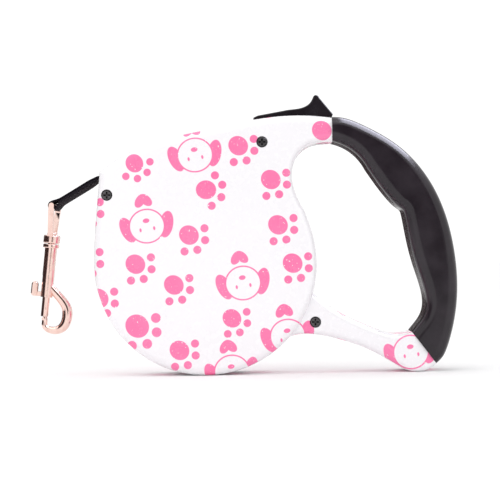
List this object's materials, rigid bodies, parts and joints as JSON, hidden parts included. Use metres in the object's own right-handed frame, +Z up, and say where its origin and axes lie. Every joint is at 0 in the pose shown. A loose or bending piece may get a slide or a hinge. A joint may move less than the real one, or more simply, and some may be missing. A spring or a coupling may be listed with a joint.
{
  "type": "retractable leash",
  "caption": "Handheld retractable pet leash: round case with looped grip, spring-wound tape reel, thumb brake with lock and swivel snap hook.",
  "frame": {"origin": "middle of the case's base, on the ground plane it stands on, halfway through its thickness", "axes": "+Z up, +X from the drum towards the grip, +Y from the front half of the case to the rear half"},
  "size_m": [0.2067, 0.032, 0.1344],
  "materials": {
    "case": "white moulded plastic, semi-gloss, printed with pink motifs",
    "grip": "black, satin",
    "button": "black, satin",
    "lever": "dark grey, matte",
    "reel": "natural acetal, matte",
    "tape": "woven flat tape, black",
    "spring": "blued spring steel",
    "steel": "bright",
    "screw": "black oxide",
    "hook": "polished, rose gold plating"
  },
  "bodies": {
    "case": {"front_shell": "case", "rear_shell": "case", "front_grip": "grip", "rear_grip": "grip", "case_screws": "screw", "guide_pin": "steel", "centre_shaft": "steel", "thrust_washers": "reel", "power_spring": "spring", "lever_pin": "steel", "brake_spring": "steel", "tape_lead": "tape"},
    "reel": {"reel": "reel", "reel_flange": "reel", "spring_cover": "reel", "tape_winding": "tape"},
    "guide_roller": {"guide_roller": "steel"},
    "brake_lever": {"brake_lever": "lever"},
    "brake_button": {"brake_button": "button"},
    "tape_end": {"tape_end": "tape"},
    "eye": {"swivel_eye": "hook"},
    "hook": {"swivel_rivet": "hook", "hook_body": "hook", "gate_spring": "steel"},
    "gate": {"gate_plunger": "hook"}
  },
  "joints": [
    {"name": "tape_payout", "type": "slide", "parent": "case", "child": "tape_end", "axis": [-0.8679, 0, -0.4967], "range_m": [0, 5], "stiffness_N_per_m": 0.9, "springref_m": -1.67},
    {"name": "reel_spin", "type": "hinge", "parent": "case", "child": "reel", "pos_m": [-0.0338, 0, 0.0534], "axis": [0, -1, 0], "range_deg": [0, 7561]},
    {"name": "guide_roller_spin", "type": "hinge", "parent": "case", "child": "guide_roller", "pos_m": [-0.0822, 0, 0.0944], "axis": [0, -1, 0], "continuous": true},
    {"name": "brake_press", "type": "hinge", "parent": "case", "child": "brake_lever", "pos_m": [-0.02, 0, 0.114], "axis": [0, 1, 0], "range_deg": [0, 4.5], "stiffness_Nm_per_rad": 1, "springref_deg": -4.58, "deforming": ["brake_spring"]},
    {"name": "lock_slide", "type": "slide", "parent": "brake_lever", "child": "brake_button", "axis": [-1, 0, 0], "range_m": [0, 0.005]},
    {"name": "eye_swing", "type": "hinge", "parent": "tape_end", "child": "eye", "pos_m": [-0.107, 0, 0.0828], "axis": [0.1383, 0.9903, -0.0155], "range_deg": [-12, 90]},
    {"name": "hook_swivel", "type": "hinge", "parent": "eye", "child": "hook", "pos_m": [-0.107, 0, 0.0828], "axis": [0.1115, 0, 0.9938], "continuous": true},
    {"name": "gate_slide", "type": "slide", "parent": "hook", "child": "gate", "axis": [0.1115, 0, 0.9938], "range_m": [0, 0.008], "stiffness_N_per_m": 150, "springref_m": -0.01, "deforming": ["gate_spring"]}
  ],
  "couplings": [
    {"joint": "reel_spin", "follows": "tape_payout", "rad_per_m": 26.389}
  ]
}
